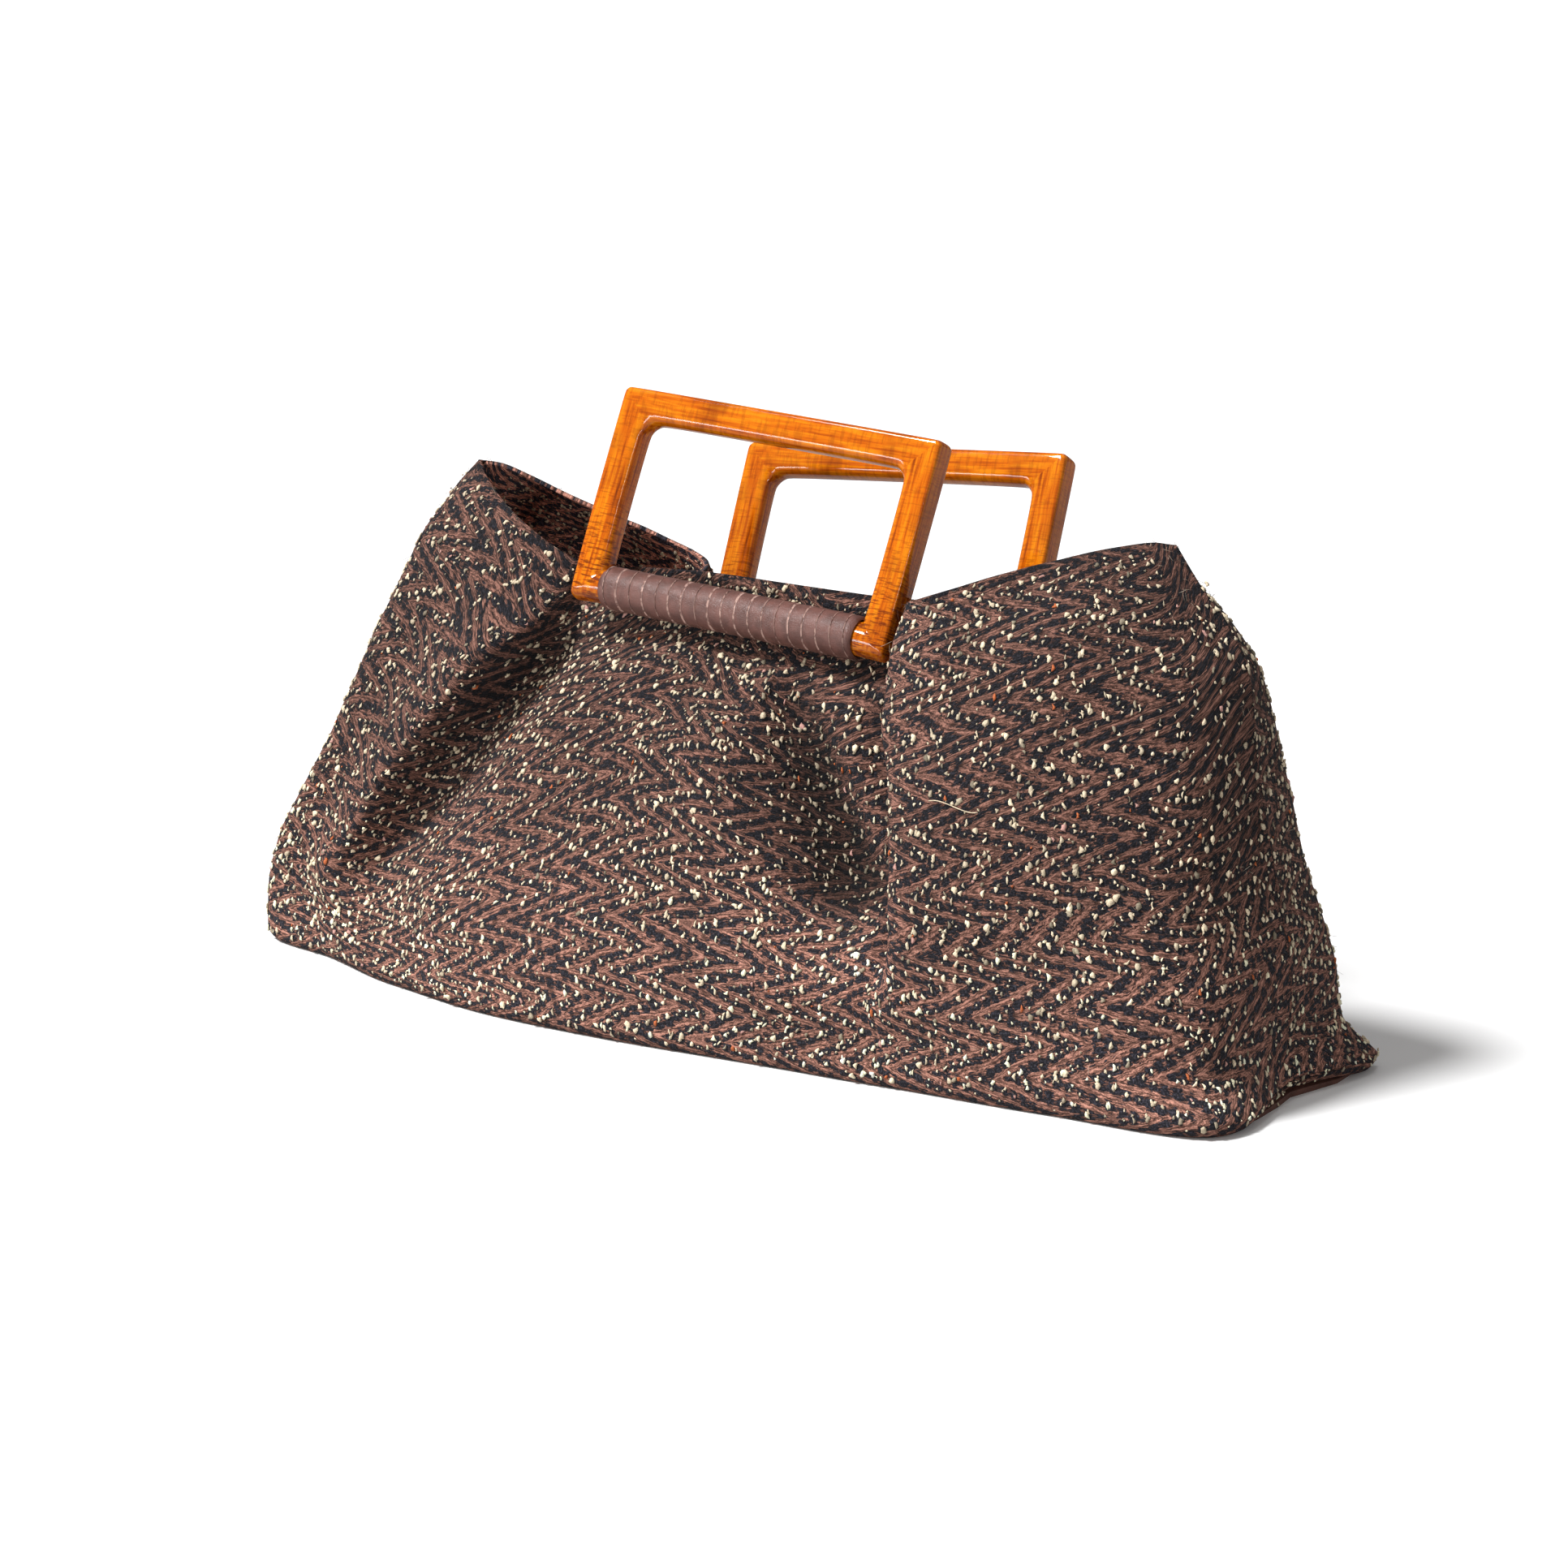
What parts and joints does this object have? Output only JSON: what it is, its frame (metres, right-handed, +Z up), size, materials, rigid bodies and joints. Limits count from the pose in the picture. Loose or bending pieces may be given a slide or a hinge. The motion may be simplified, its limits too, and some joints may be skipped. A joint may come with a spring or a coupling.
{
  "type": "handbag",
  "caption": "Soft tweed handbag with pleated sides, boxed base corners, a flat leather base and wooden frame handles with leather-wound bars.",
  "frame": {"origin": "middle of the overall box, on the surface the bag stands on", "axes": "+X along the bag to the right seen from the front, front faces -Y, +Z up"},
  "size_m": [0.507, 0.211, 0.2609],
  "materials": {
    "tweed": "rough brown and black herringbone tweed with cream slubs",
    "base_leather": "smooth dark brown leather",
    "wood": "glossy orange-brown lacquer",
    "wrap_leather": "satin dark brown leather tape"
  },
  "bodies": {
    "root": {"front_panel": "tweed", "back_panel": "tweed", "base_panel": "base_leather", "front_handle": "wood", "back_handle": "wood", "front_wrap": "wrap_leather", "back_wrap": "wrap_leather"}
  },
  "joints": []
}
